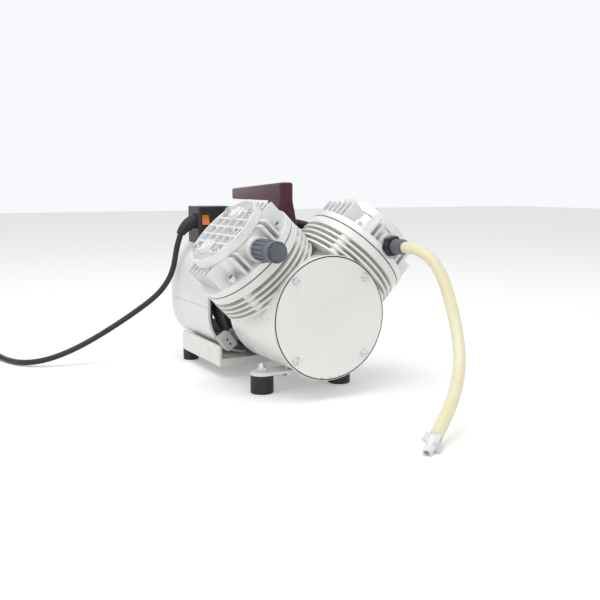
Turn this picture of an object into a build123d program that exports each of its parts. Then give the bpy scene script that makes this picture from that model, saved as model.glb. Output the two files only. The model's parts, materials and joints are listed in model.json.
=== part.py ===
# Two-headed diaphragm vacuum pump with a mains motor, a carrying handle and a hose.
# Frame: +Z up, shaft along Y, front cover towards -Y, right-hand head towards +X.
# The origin lies on the floor, below the shaft, midway between the two front feet.

import os
from math import cos, pi, radians, sin, sqrt, tan

from build123d import *

os.makedirs("parts", exist_ok=True)

# ---------------------------------------------------------------- driving sizes, mm
run_fit = 0.05          # radial running clearance
slide_fit = 0.02        # radial clearance of a located fit
hole_clear = 0.2        # radial clearance of a screw in its hole

foot_h = 20.0
bar_t = 3.5
case_r = 63.0
case_sink = 0.5         # flat cut under the case, where it sits on the front bar
shaft_z = foot_h + bar_t + case_r - case_sink
shaft_d = 12.0
stroke = 5.0            # twice the eccentricity
bearing_od = 32.0
bearing_w = 10.0
ecc_w = 13.0
weight_r = 22.0
weight_t = 8.5
rod_w = 11.0
rod_eye_wall = 5.0
rod_disc_r = 22.0
rod_disc_t = 3.0
clamp_r = 20.0
clamp_t = 2.0
clamp_stud_r = 3.0
clamp_stud = 12.0

# crankcase
case_front = -59.0
case_rear = 52.5
case_wall = 12.0
rear_wall = 12.0
gasket_t = 0.8
cover_t = 3.0
cover_lip = 0.3
cover_r = case_r + cover_lip
cover_screw_edge = 5.866
cover_screw_at = (case_r - cover_screw_edge) / sqrt(2)
cover_screw_d = 5.0
cover_screw_head_d = 9.0
cover_screw_bite = 9.0
slot_angles = (32, -4, 84, 6)      # how each slotted screw happened to stop

# cylinders, one each side at the tilt angle
head_tilt = 45.0
rod_pitch = 15.0        # left and right cylinders stand this far apart along the shaft
neck_r = 44.0
neck_bore_r = 34.0
fin_r = 60.0
fin_t = 2.4
fin_sink = 10.5         # the first fin starts this far inside the case's radius
fin_low = case_r - fin_sink
fin_pitch = 6.0
fin_count = 4
fin_gap = 0.5
flange_r = 59.5
flange_t = 8.7
flange_low = fin_low + fin_count * fin_pitch + fin_gap
flange_top = flange_low + flange_t
membrane_t = 1.3
plate_t = 7.0
plate_low = flange_top + membrane_t
plate_top = plate_low + plate_t
arm_rise = 22.0
head_top = plate_top + arm_rise
drum_r = 43.5
arm_reach = 51.0        # half length of the ribbed arms
arm_half_w = 26.0       # half width of the ribbed arms
rib_t = 2.8
end_rib_count = 6
side_rib_at = 18.8
head_screw_at = 36.5
head_screw_d = 6.0
port_rise = 8.0
port_h = plate_top + port_rise
port_r = 13.0
port_face = 55.0        # distance of each port face from its cylinder axis
port_bore_r = 6.0
chamber_r = 31.0
chamber_depth = 5.0

# round head covers
seal_t = 0.6
lid_r = 44.5
lid_rise = 10.0
lid_top = head_top + lid_rise
lid_pocket = 6.0
cell_t = 11.0
cell_y = 17.5
cell_wall = 2.2
valve_at = 23.5
valve_boss_r = 9.5
lid_corner_at = 28.0
lid_mid_at = 21.5
lid_screw_d = 4.0
lid_screw_boss_r = 4.9

# motor
housing_r = 46.0
rib_depth = 5.0
rib_count = 24
housing_len = 85.0
stator_bore_r = 24.0
stator_r = 41.0
stator_len = 52.0
air_gap = 0.5
fan_r = 42.0
fan_w = 26.0

# fan cover and tray
shell_half_w = 70.0
shell_low = 23.0
shell_top = 158.0
shell_corner = 48.0
shell_wall = 3.0
shell_front = 97.5
shell_len = 130.0
slot_len = 84.0
slot_w = 4.5
slot_pitch = 10.0
slot_field_r = 44.0
tray_half_w = 65.0
tray_wall = 3.0
tray_low = 14.0
tray_top = 38.0
tray_front = 76.5
tray_len = 119.5

# feet
front_foot_d = 25.0
rear_foot_d = 19.5
front_foot_x = 48.5
rear_foot_x = 55.0
rear_foot_y = 195.0
bar_bolt_gap = 36.0
stud_d = 6.0
nut_r = 5.6
nut_h = 4.0
dome_r = 4.4
dome_h = 4.6

# handle
handle_front = 33.5
leg_depth = 34.0
grip_end = 167.5
grip_low = 204.0
grip_top = 224.5
grip_drop = 7.0
grip_w = 16.0
leg_w = 26.0
leg_rise = 3.0
leg_seat = shaft_z + case_r + leg_rise
leg_taper = 24.0

# switch box
box_x = -26.0
box_w = 46.0
box_front = 175.5
box_depth = 38.0
box_top = 195.0
rocker_x = -40.0
rocker_z = 178.2
rocker_w = 9.4
rocker_r = 6.4
rocker_clear = 0.4

# hose and cord
hose_d = 12.0
barb_len = 26.0
elbow_r = 5.5
elbow_out = 11.0
elbow_up = 13.0
link_hose_d = 10.0
link_rise = 17.0
cord_d = 7.0
plug_r = 18.5
plug_len = 48.0
plug_lead = 22.0        # cord between the coil and the plug
plug_neck = 24.0
plug_flare = 10.0

axis_left = rod_pitch / 2
axis_right = -rod_pitch / 2
ecc = stroke / 2


# ---------------------------------------------------------------- frames
def across(y):
    """Plane across the shaft at station y; its normal points to the front."""
    return Plane(origin=(0, y, shaft_z), x_dir=(1, 0, 0), z_dir=(0, -1, 0))


def cylinder_frame(side, y):
    """Z runs out along a cylinder from the shaft, Y towards the motor."""
    c, s = cos(radians(head_tilt)), sin(radians(head_tilt))
    return Plane(origin=(0, y, shaft_z), x_dir=(c, 0, -side * s), z_dir=(side * s, 0, c))


def port_plane(frame, y):
    """Plane facing the front through the port axis of a head."""
    n = frame.y_dir * -1
    return Plane(origin=frame.from_local_coords((0, y, port_h)), x_dir=frame.x_dir, z_dir=n)


left = cylinder_frame(-1, axis_left)
right = cylinder_frame(1, axis_right)


def save(builder, label):
    builder.part.label = label
    export_step(builder.part, f"parts/{label}.step")


# ---------------------------------------------------------------- crankcase
case_bore_r = case_r - case_wall
with BuildPart() as crankcase:
    with BuildSketch(across(case_rear)):
        Circle(case_r)
    extrude(amount=case_rear - case_front)
    for frame in (left, right):
        with BuildSketch(frame.offset(fin_low - 15)):
            Circle(neck_r)
        extrude(amount=flange_top - fin_low + 15)
        with BuildSketch(frame.offset(flange_low)):
            Circle(flange_r)
        extrude(amount=flange_top - flange_low)
        for i in range(fin_count):
            with BuildSketch(frame.offset(fin_low + i * fin_pitch)):
                Circle(fin_r)
            extrude(amount=fin_t)
        with BuildSketch(frame.offset(fin_low)):
            with GridLocations(2 * head_screw_at, 2 * head_screw_at, 2, 2):
                Circle(head_screw_d / 2 + 3.8)
        extrude(amount=flange_low - fin_low + 1)
    # clear the front face for the cover, and the slot in the fins for the handle's leg
    with BuildSketch(across(case_front)):
        Circle(case_r + 1.2)
    extrude(amount=20, mode=Mode.SUBTRACT)
    with BuildSketch(Plane.XY.offset(shaft_z + case_r + 1)):
        with Locations((0, handle_front + leg_depth / 2)):
            Rectangle(leg_w + 3, leg_depth + 4)
    extrude(amount=30, mode=Mode.SUBTRACT)
    with BuildSketch(Plane.XY.offset(shaft_z + case_r - 8)):
        with Locations((0, (handle_front + case_rear) / 2)):
            Rectangle(leg_w - 2, case_rear - handle_front)
    extrude(amount=leg_seat - shaft_z - case_r + 8)
    # crank space, cylinder bores and rear bearing seat
    with BuildSketch(across(case_rear - rear_wall)):
        Circle(case_bore_r)
    extrude(amount=case_rear - rear_wall - case_front, mode=Mode.SUBTRACT)
    for frame in (left, right):
        with BuildSketch(frame):
            Circle(neck_bore_r)
        extrude(amount=flange_top, mode=Mode.SUBTRACT)
        with BuildSketch(frame.offset(flange_top)):
            with GridLocations(2 * head_screw_at, 2 * head_screw_at, 2, 2):
                Circle(head_screw_d / 2 + slide_fit)
        extrude(amount=-14, mode=Mode.SUBTRACT)
    with BuildSketch(across(case_rear)):
        Circle(bearing_od / 2 + slide_fit)
    extrude(amount=bearing_w, mode=Mode.SUBTRACT)
    with BuildSketch(across(case_rear)):
        Circle(bearing_od / 2 - 4)
    extrude(amount=rear_wall, mode=Mode.SUBTRACT)
    # flat under the case for the front bar, and its two bolt holes
    with BuildSketch(Plane.XY.offset(foot_h + bar_t)):
        Rectangle(2 * case_r, front_foot_d + 1)
    extrude(amount=-foot_h, mode=Mode.SUBTRACT)
    with BuildSketch(Plane.XY.offset(foot_h + bar_t)):
        with GridLocations(bar_bolt_gap, 0, 2, 1):
            Circle(stud_d / 2 + slide_fit)
    extrude(amount=9, mode=Mode.SUBTRACT)
    with BuildSketch(across(case_front)):
        with GridLocations(2 * cover_screw_at, 2 * cover_screw_at, 2, 2):
            Circle(cover_screw_d / 2 + slide_fit)
    extrude(amount=-(cover_screw_bite + 3), mode=Mode.SUBTRACT)
save(crankcase, "crankcase")

with BuildPart() as case_gasket:
    with BuildSketch(across(case_front)):
        Circle(case_r - 0.5)
        Circle(case_bore_r, mode=Mode.SUBTRACT)
        with GridLocations(2 * cover_screw_at, 2 * cover_screw_at, 2, 2):
            Circle(cover_screw_d / 2 + hole_clear, mode=Mode.SUBTRACT)
    extrude(amount=gasket_t)
save(case_gasket, "case_gasket")

cover_in = case_front - gasket_t
cover_out = cover_in - cover_t
with BuildPart() as front_cover:
    with BuildSketch(across(cover_in)):
        Circle(cover_r)
    extrude(amount=cover_t)
    fillet(front_cover.edges().group_by(Axis.Y)[0], 0.8)
    with BuildSketch(across(cover_out)):
        with GridLocations(2 * cover_screw_at, 2 * cover_screw_at, 2, 2):
            Circle(cover_screw_d / 2 + hole_clear)
    extrude(amount=-cover_t, mode=Mode.SUBTRACT)
save(front_cover, "front_cover")

screw_corners = [(-1, 1), (1, 1), (-1, -1), (1, -1)]
with BuildPart() as cover_screws:
    for (sx, sz), angle in zip(screw_corners, slot_angles):
        seat = across(cover_out)
        with BuildSketch(seat):
            with Locations((sx * cover_screw_at, sz * cover_screw_at)):
                Circle(cover_screw_head_d / 2)
        extrude(amount=2.4, taper=18)
        with BuildSketch(seat.offset(2.4)):
            with Locations(Location((sx * cover_screw_at, sz * cover_screw_at, 0), (0, 0, angle))):
                Rectangle(cover_screw_head_d + 1, 1.2)
        extrude(amount=-1.2, mode=Mode.SUBTRACT)
        with BuildSketch(seat):
            with Locations((sx * cover_screw_at, sz * cover_screw_at)):
                Circle(cover_screw_d / 2)
        extrude(amount=-(cover_t + gasket_t + cover_screw_bite))
save(cover_screws, "cover_screws")


# ---------------------------------------------------------------- heads
def ribbed_head(frame):
    """Clamping plate, ribbed cross, drum and ports, cast in one piece."""
    rib_h = head_top - plate_top
    rib_pitch = 2 * arm_half_w / (end_rib_count - 1)
    with BuildPart() as body:
        with BuildSketch(frame.offset(plate_low)):
            Circle(flange_r)
        extrude(amount=plate_t)
        with BuildSketch(frame.offset(plate_top)):
            Circle(drum_r)
            with GridLocations(0, rib_pitch, 1, end_rib_count):
                Rectangle(2 * arm_reach, rib_t)
            for x in (-arm_half_w, -side_rib_at, side_rib_at, arm_half_w):
                with Locations((x, 0)):
                    Rectangle(rib_t, 2 * arm_reach)
        extrude(amount=rib_h)
        with BuildSketch(port_plane(frame, port_face)):
            Circle(port_r)
        extrude(amount=2 * port_face)
        # pumping chamber, port bores, valve passages and screw holes
        with BuildSketch(frame.offset(plate_low)):
            Circle(chamber_r)
        with BuildSketch(frame.offset(plate_low + chamber_depth)):
            Circle(chamber_r - 7)
        loft(mode=Mode.SUBTRACT)
        for y, depth in ((-port_face, -14), (port_face, 14)):
            with BuildSketch(port_plane(frame, y)):
                Circle(port_bore_r + slide_fit)
            extrude(amount=depth, mode=Mode.SUBTRACT)
            with BuildSketch(port_plane(frame, y)):
                Circle(port_r)
            extrude(amount=-depth, mode=Mode.SUBTRACT)
        with BuildSketch(frame.offset(plate_low + 1)):
            with GridLocations(2 * (chamber_r - 13), 0, 2, 1):
                Circle(2.5)
        extrude(amount=head_top - plate_low, mode=Mode.SUBTRACT)
        with BuildSketch(frame.offset(head_top)):
            with GridLocations(2 * (chamber_r - 13), 0, 2, 1):
                Circle(7.5)
        extrude(amount=-1, mode=Mode.SUBTRACT)
        with BuildSketch(frame.offset(plate_low)):
            with GridLocations(2 * head_screw_at, 2 * head_screw_at, 2, 2):
                Circle(head_screw_d / 2 + hole_clear)
        extrude(amount=plate_t, mode=Mode.SUBTRACT)
        with BuildSketch(frame.offset(head_top)):
            with GridLocations(2 * lid_corner_at, 2 * lid_corner_at, 2, 2):
                Circle(lid_screw_d / 2 + slide_fit)
            with GridLocations(0, 2 * lid_mid_at, 1, 2):
                Circle(lid_screw_d / 2 + slide_fit)
        extrude(amount=-9, mode=Mode.SUBTRACT)
    return body


def lid_seal(frame):
    with BuildPart() as ring:
        with BuildSketch(frame.offset(head_top)):
            Circle(lid_r - 0.1)
            Circle(lid_r - 10, mode=Mode.SUBTRACT)
            with GridLocations(2 * lid_corner_at, 2 * lid_corner_at, 2, 2):
                Circle(lid_screw_d / 2 + hole_clear, mode=Mode.SUBTRACT)
        extrude(amount=seal_t)
    return ring


def waffle_lid(frame):
    """Round cover whose top is cut into cells, with two valve bosses and six screw bosses."""
    low = head_top + seal_t
    boss_top = lid_top + 1.2
    with BuildPart() as lid:
        with BuildSketch(frame.offset(low)):
            Circle(lid_r)
        extrude(amount=lid_top - low)
        with BuildSketch(frame.offset(lid_top)):
            with GridLocations(cell_t, cell_y, 5, 6):
                Rectangle(cell_t - cell_wall, cell_y - cell_wall)
            with GridLocations(2 * 35.0, 4.8, 2, 13):
                Rectangle(12, 2.6)
            Circle(lid_r - 3.0, mode=Mode.INTERSECT)
            with GridLocations(2 * valve_at, 0, 2, 1):
                Circle(valve_boss_r, mode=Mode.SUBTRACT)
            with GridLocations(2 * lid_corner_at, 2 * lid_corner_at, 2, 2):
                Circle(lid_screw_boss_r, mode=Mode.SUBTRACT)
            with GridLocations(0, 2 * lid_mid_at, 1, 2):
                Circle(lid_screw_boss_r, mode=Mode.SUBTRACT)
        extrude(amount=-lid_pocket, mode=Mode.SUBTRACT)
        with BuildSketch(frame.offset(lid_top)):
            with GridLocations(2 * valve_at, 0, 2, 1):
                Circle(valve_boss_r)
        extrude(amount=boss_top - lid_top)
        with BuildSketch(frame.offset(boss_top)):
            with GridLocations(2 * valve_at, 0, 2, 1):
                SlotOverall(7, 2.6, rotation=90)
        extrude(amount=-2.5, mode=Mode.SUBTRACT)
        with BuildSketch(frame.offset(lid_top)):
            with GridLocations(2 * lid_corner_at, 2 * lid_corner_at, 2, 2):
                Circle(lid_screw_d / 2 + hole_clear)
            with GridLocations(0, 2 * lid_mid_at, 1, 2):
                Circle(lid_screw_d / 2 + hole_clear)
        extrude(amount=-(lid_top - low), mode=Mode.SUBTRACT)
    return lid


def socket_screws(frame, spots, seat, d, head_d, head_h, reach):
    """Socket-head cap screws standing on a seat, shanks reaching down."""
    with BuildPart() as screws:
        with BuildSketch(frame.offset(seat)):
            with Locations(*spots):
                Circle(head_d / 2)
        extrude(amount=head_h)
        with BuildSketch(frame.offset(seat + head_h)):
            with Locations(*spots):
                RegularPolygon(head_d * 0.28, 6)
        extrude(amount=-head_h * 0.6, mode=Mode.SUBTRACT)
        with BuildSketch(frame.offset(seat)):
            with Locations(*spots):
                Circle(d / 2)
        extrude(amount=-reach)
    return screws


def valve_discs(frame):
    with BuildPart() as discs:
        with BuildSketch(frame.offset(head_top)):
            with GridLocations(2 * (chamber_r - 13), 0, 2, 1):
                Circle(7.0)
        extrude(amount=-0.8)
    return discs


def membrane(frame, lift):
    """Clamped at its rim, its middle carried up or down with the rod."""
    mid, bend = 23.0, chamber_r - 1
    low, top = flange_top, plate_low
    section = Plane(origin=frame.origin, x_dir=frame.x_dir, z_dir=frame.y_dir * -1)
    with BuildPart() as disc:
        with BuildSketch(section):
            with BuildLine():
                Polyline(
                    (4, low + lift), (mid, low + lift), (bend, low), (flange_r - 1, low),
                    (flange_r - 1, top), (bend, top), (mid, top + lift), (4, top + lift),
                    close=True,
                )
            make_face()
        revolve(axis=Axis(frame.origin, frame.z_dir))
        with BuildSketch(frame.offset(low)):
            with GridLocations(2 * head_screw_at, 2 * head_screw_at, 2, 2):
                Circle(head_screw_d / 2 + hole_clear)
        extrude(amount=membrane_t, mode=Mode.SUBTRACT)
    return disc


corner_spots = [(x * head_screw_at, y * head_screw_at) for x in (-1, 1) for y in (-1, 1)]
lid_spots = [(x * lid_corner_at, y * lid_corner_at) for x in (-1, 1) for y in (-1, 1)]
lid_spots += [(0, -lid_mid_at), (0, lid_mid_at)]
for side, frame, lift in (("left", left, ecc), ("right", right, -ecc)):
    save(ribbed_head(frame), f"head_{side}")
    save(lid_seal(frame), f"head_seal_{side}")
    save(waffle_lid(frame), f"head_lid_{side}")
    save(socket_screws(frame, corner_spots, plate_top, head_screw_d, 10, 6, plate_t + 14),
         f"head_screws_{side}")
    save(socket_screws(frame, lid_spots, lid_top, lid_screw_d, 7, 2.6, 17), f"lid_screws_{side}")
    save(valve_discs(frame), f"valve_discs_{side}")
    save(membrane(frame, lift), f"membrane_{side}")


# ---------------------------------------------------------------- crank and rods
def conrod(frame, lift, y):
    """Big end round the eccentric, shank and support disc under the membrane."""
    big_r = bearing_od / 2 + rod_eye_wall
    with BuildPart() as rod:
        with BuildSketch(Plane(origin=frame.from_local_coords((0, -rod_w / 2, lift)),
                               x_dir=frame.x_dir, z_dir=frame.y_dir)):
            Circle(big_r)
        extrude(amount=rod_w)
        with BuildSketch(frame.offset(lift + big_r - 4)):
            Rectangle(bearing_od / 2, rod_w)
        with BuildSketch(frame.offset(lift + flange_top - rod_disc_t)):
            Rectangle(rod_w, rod_w)
        loft()
        with BuildSketch(frame.offset(lift + flange_top - rod_disc_t)):
            Circle(rod_disc_r)
        extrude(amount=rod_disc_t)
        with BuildSketch(Plane(origin=frame.from_local_coords((0, -rod_w / 2, lift)),
                               x_dir=frame.x_dir, z_dir=frame.y_dir)):
            Circle(bearing_od / 2 + slide_fit)
        extrude(amount=rod_w, mode=Mode.SUBTRACT)
        with BuildSketch(frame.offset(lift + flange_top)):
            Circle(clamp_stud_r + slide_fit)
        extrude(amount=-clamp_stud, mode=Mode.SUBTRACT)
    return rod


def rod_bearing(frame, lift):
    with BuildPart() as race:
        with BuildSketch(Plane(origin=frame.from_local_coords((0, -bearing_w / 2, lift)),
                               x_dir=frame.x_dir, z_dir=frame.y_dir)):
            Circle(bearing_od / 2)
            Circle(shaft_d / 2 + stroke + run_fit, mode=Mode.SUBTRACT)
        extrude(amount=bearing_w)
    return race


def clamp_disc(frame, lift):
    """Disc and stud that clamp the membrane's middle to the rod."""
    with BuildPart() as disc:
        with BuildSketch(frame.offset(lift + plate_low)):
            Circle(clamp_r)
        extrude(amount=clamp_t)
        chamfer(disc.edges().sort_by(Axis(frame.origin, frame.z_dir))[-1], 0.8)
        with BuildSketch(frame.offset(lift + plate_low)):
            Circle(clamp_stud_r)
        extrude(amount=-clamp_stud)
    return disc


for side, frame, lift, y in (("left", left, ecc, axis_left), ("right", right, -ecc, axis_right)):
    save(conrod(frame, lift, y), f"conrod_{side}")
    save(rod_bearing(frame, lift), f"rod_bearing_{side}")
    save(clamp_disc(frame, lift), f"clamp_disc_{side}")

ecc_r = shaft_d / 2 + stroke
with BuildPart() as eccentrics:
    for frame, lift, y in ((left, ecc, axis_left), (right, -ecc, axis_right)):
        with BuildSketch(Plane(origin=frame.from_local_coords((0, -ecc_w / 2, lift)),
                               x_dir=frame.x_dir, z_dir=frame.y_dir)):
            Circle(ecc_r)
        extrude(amount=ecc_w)
    with BuildSketch(across(axis_left + 9)):
        Circle(ecc_r - ecc - 0.1)
    extrude(amount=rod_pitch + 10)
    # counterweight on the side away from both throws
    with BuildSketch(across(axis_left + 16.5)):
        Circle(weight_r)
        with Locations((-weight_r / 2, 0)):
            Rectangle(weight_r, 2 * weight_r, mode=Mode.SUBTRACT)
        Circle(ecc_r - ecc - 0.1)
    extrude(amount=weight_t)
    with BuildSketch(across(axis_left + 17)):
        Circle(shaft_d / 2 + slide_fit)
    extrude(amount=rod_pitch + 40, mode=Mode.SUBTRACT)
save(eccentrics, "eccentrics")

housing_rear = case_rear + housing_len
fan_front = housing_rear + 22
with BuildPart() as motor_shaft:
    with BuildSketch(across(fan_front + fan_w)):
        Circle(shaft_d / 2)
    extrude(amount=fan_front + fan_w - axis_right + 10)
    chamfer(motor_shaft.edges().group_by(Axis.Y)[0], 1)
save(motor_shaft, "motor_shaft")

stator_mid = case_rear + housing_len / 2
with BuildPart() as rotor:
    with BuildSketch(across(stator_mid + stator_len / 2)):
        Circle(stator_bore_r - air_gap)
        Circle(shaft_d / 2 + slide_fit, mode=Mode.SUBTRACT)
    extrude(amount=stator_len)
save(rotor, "rotor")

with BuildPart() as fan:
    with BuildSketch(across(fan_front + fan_w)):
        Circle(shaft_d / 2 + 5)
    extrude(amount=fan_w)
    with BuildSketch(across(fan_front + 3)):
        Circle(fan_r)
    extrude(amount=3)
    with BuildSketch(across(fan_front + fan_w - 2)):
        with PolarLocations(0, 8):
            with Locations((fan_r / 2 + 4, 3)):
                Rectangle(fan_r - 9, 2)
    extrude(amount=fan_w - 4)
    with BuildSketch(across(fan_front + fan_w)):
        Circle(shaft_d / 2 + slide_fit)
    extrude(amount=fan_w, mode=Mode.SUBTRACT)
save(fan, "fan")


def ball_bearing(y):
    with BuildPart() as race:
        with BuildSketch(across(y)):
            Circle(bearing_od / 2)
            Circle(shaft_d / 2 + run_fit, mode=Mode.SUBTRACT)
        extrude(amount=bearing_w)
    return race


save(ball_bearing(case_rear), "bearing_front")
save(ball_bearing(housing_rear + bearing_w - 2), "bearing_rear")

# ---------------------------------------------------------------- motor
with BuildPart() as motor_housing:
    with BuildSketch(across(housing_rear)):
        Circle(housing_r)
        with PolarLocations(housing_r + rib_depth / 2 - 1, rib_count):
            Rectangle(rib_depth + 2, 4.2)
    extrude(amount=housing_len)
    with BuildSketch(across(case_rear + 5)):
        Circle(housing_r + rib_depth)
    extrude(amount=5)
    # foot on the tray and seat of the terminal block
    foot_len = shell_front - tray_front - 3
    with BuildSketch(Plane.XY.offset(shell_low)):
        with Locations((0, tray_front + 1 + foot_len / 2)):
            Rectangle(44, foot_len)
    extrude(amount=shaft_z - shell_low - housing_r + 6)
    block_frame = Plane(origin=(0, case_rear + 10, shaft_z), x_dir=(0, 1, 0),
                        z_dir=(-cos(radians(34)), 0, -sin(radians(34))))
    with BuildSketch(block_frame.offset(housing_r - 2)):
        with Locations((6, 0)):
            Rectangle(10, 13)
    extrude(amount=21)
    with BuildSketch(across(housing_rear)):
        Circle(stator_r + slide_fit)
    extrude(amount=housing_len, mode=Mode.SUBTRACT)
save(motor_housing, "motor_housing")

with BuildPart() as terminal_block:
    with BuildSketch(block_frame.offset(housing_r + 19)):
        with Locations((6, 0)):
            Rectangle(14, 18)
    extrude(amount=14)
    fillet(terminal_block.edges().filter_by(Axis.Y), 1.2)
    with BuildSketch(Plane(origin=block_frame.from_local_coords((-1, 0, housing_r + 26)),
                           x_dir=block_frame.y_dir, z_dir=(0, -1, 0))):
        with GridLocations(6.4, 0, 2, 1):
            Circle(1.5)
    extrude(amount=-8, mode=Mode.SUBTRACT)
save(terminal_block, "terminal_block")

with BuildPart() as stator_core:
    with BuildSketch(across(stator_mid + stator_len / 2)):
        Circle(stator_r)
        Circle(stator_bore_r, mode=Mode.SUBTRACT)
    extrude(amount=stator_len)
save(stator_core, "stator_core")

with BuildPart() as windings:
    for y in (stator_mid - stator_len / 2, stator_mid + stator_len / 2 + 10):
        with BuildSketch(across(y)):
            Circle(stator_r - 3)
            Circle(stator_bore_r + 3, mode=Mode.SUBTRACT)
        extrude(amount=10)
    fillet(windings.edges().group_by(Axis.Y)[0], 2.5)
    fillet(windings.edges().group_by(Axis.Y)[-1], 2.5)
save(windings, "windings")

with BuildPart() as rear_shield:
    with BuildSketch(across(housing_rear + 5)):
        Circle(housing_r + rib_depth)
    extrude(amount=5)
    with BuildSketch(across(housing_rear + bearing_w)):
        Circle(bearing_od / 2 + 4)
    extrude(amount=bearing_w)
    with BuildSketch(across(housing_rear + 5)):
        with PolarLocations(32, 8):
            SlotOverall(15, 6, rotation=90)
    extrude(amount=5, mode=Mode.SUBTRACT)
    with BuildSketch(across(housing_rear + bearing_w - 2)):
        Circle(bearing_od / 2 + slide_fit)
    extrude(amount=bearing_w, mode=Mode.SUBTRACT)
    with BuildSketch(across(housing_rear + bearing_w)):
        Circle(shaft_d / 2 + 2)
    extrude(amount=bearing_w, mode=Mode.SUBTRACT)
save(rear_shield, "rear_shield")


# ---------------------------------------------------------------- fan cover, tray, feet
def shell_outline(grow=0.0):
    """Rounded square round the motor; used for the cover and for all that fits it."""
    with Locations((0, (shell_top + shell_low) / 2 - shaft_z)):
        RectangleRounded(2 * (shell_half_w + grow), shell_top - shell_low + 2 * grow,
                         shell_corner + grow)


shell_rear = shell_front + shell_len
with BuildPart() as fan_cover:
    with BuildSketch(across(shell_rear)):
        shell_outline()
    extrude(amount=shell_len)
    fillet(fan_cover.edges().group_by(Axis.Y)[-1], 9)
    with BuildSketch(across(shell_rear - shell_wall)):
        shell_outline(-shell_wall)
    extrude(amount=shell_len, mode=Mode.SUBTRACT)
    # air slots in the rear wall
    with BuildSketch(across(shell_rear)):
        with GridLocations(slot_pitch, 0, 9, 1):
            SlotOverall(slot_len, slot_w, rotation=90)
        Circle(slot_field_r, mode=Mode.INTERSECT)
    extrude(amount=shell_wall, mode=Mode.SUBTRACT)
    # parting groove along both sides
    with BuildSketch(across(shell_rear - 9)):
        with Locations((0, -6)):
            Rectangle(2 * shell_half_w + 2, 1.2)
            Rectangle(2 * shell_half_w - 1, 1.2, mode=Mode.SUBTRACT)
    extrude(amount=shell_len, mode=Mode.SUBTRACT)
save(fan_cover, "fan_cover")

with BuildPart() as base_tray:
    tray_mid = tray_front + tray_len / 2
    tray_rear_ear = rear_foot_y + rear_foot_d / 2 + 1
    with BuildSketch(Plane.XY.offset(tray_low)):
        with Locations((0, tray_mid)):
            Rectangle(2 * tray_half_w, tray_len)
            Rectangle(2 * (tray_half_w - tray_wall), tray_len - 2 * tray_wall, mode=Mode.SUBTRACT)
    extrude(amount=shell_low - tray_low)
    with BuildSketch(Plane.XY.offset(shell_low)):
        for x in (-1, 1):
            with Locations((x * (tray_half_w - tray_wall / 2), tray_mid)):
                Rectangle(tray_wall, tray_len)
    extrude(amount=tray_top - shell_low)
    with BuildSketch(Plane.XY.offset(foot_h)):
        with Locations((0, (tray_front + tray_rear_ear) / 2)):
            Rectangle(2 * tray_half_w, tray_rear_ear - tray_front)
        fillet(vertices().group_by(Axis.Y)[-1], 9)
    extrude(amount=shell_low - foot_h)
    with BuildSketch(Plane.XY.offset(foot_h)):
        with Locations((0, rear_foot_y)):
            with GridLocations(2 * rear_foot_x, 0, 2, 1):
                Circle(stud_d / 2 + hole_clear)
    extrude(amount=shell_low - foot_h, mode=Mode.SUBTRACT)
    # let the rear feet into the end wall
    with BuildSketch(Plane.XY.offset(tray_low)):
        with Locations((0, rear_foot_y)):
            with GridLocations(2 * rear_foot_x, 0, 2, 1):
                Circle(rear_foot_d / 2 + 0.2)
    extrude(amount=foot_h - tray_low, mode=Mode.SUBTRACT)
save(base_tray, "base_tray")

with BuildPart() as front_bar:
    with BuildSketch(Plane.XY.offset(foot_h)):
        SlotOverall(2 * front_foot_x + front_foot_d, front_foot_d)
        with GridLocations(2 * front_foot_x, 0, 2, 1):
            Circle(stud_d / 2 + hole_clear, mode=Mode.SUBTRACT)
        with GridLocations(bar_bolt_gap, 0, 2, 1):
            Circle(stud_d / 2 + hole_clear, mode=Mode.SUBTRACT)
    extrude(amount=bar_t)
save(front_bar, "front_bar")

with BuildPart() as bar_bolts:
    with BuildSketch(Plane.XY.offset(foot_h)):
        with GridLocations(bar_bolt_gap, 0, 2, 1):
            RegularPolygon(nut_r, 6)
    extrude(amount=-nut_h)
    with BuildSketch(Plane.XY.offset(foot_h)):
        with GridLocations(bar_bolt_gap, 0, 2, 1):
            Circle(stud_d / 2)
    extrude(amount=bar_t + 8)
save(bar_bolts, "bar_bolts")

foot_spots = [(x * front_foot_x, 0, front_foot_d, foot_h + bar_t) for x in (-1, 1)]
foot_spots += [(x * rear_foot_x, rear_foot_y, rear_foot_d, shell_low) for x in (-1, 1)]
with BuildPart() as rubber_feet:
    for x, y, d, seat in foot_spots:
        with BuildSketch():
            with Locations((x, y)):
                Circle(d / 2)
        extrude(amount=foot_h)
    fillet(rubber_feet.edges().group_by(Axis.Z)[0], 1)
    for x, y, d, seat in foot_spots:
        with BuildSketch():
            with Locations((x, y)):
                Circle(stud_d / 2 - 0.5)
        extrude(amount=9, mode=Mode.SUBTRACT)
save(rubber_feet, "rubber_feet")

with BuildPart() as foot_nuts:
    for x, y, d, seat in foot_spots:
        with BuildSketch(Plane.XY.offset(seat)):
            with Locations((x, y)):
                RegularPolygon(nut_r, 6)
        extrude(amount=nut_h)
        with BuildSketch(Plane.XY.offset(seat + nut_h)):
            with Locations((x, y)):
                Circle(dome_r)
        extrude(amount=dome_h, taper=24)
        with BuildSketch(Plane.XY.offset(foot_h)):
            with Locations((x, y)):
                Circle(stud_d / 2)
        extrude(amount=seat - foot_h)
save(foot_nuts, "foot_nuts")

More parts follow.
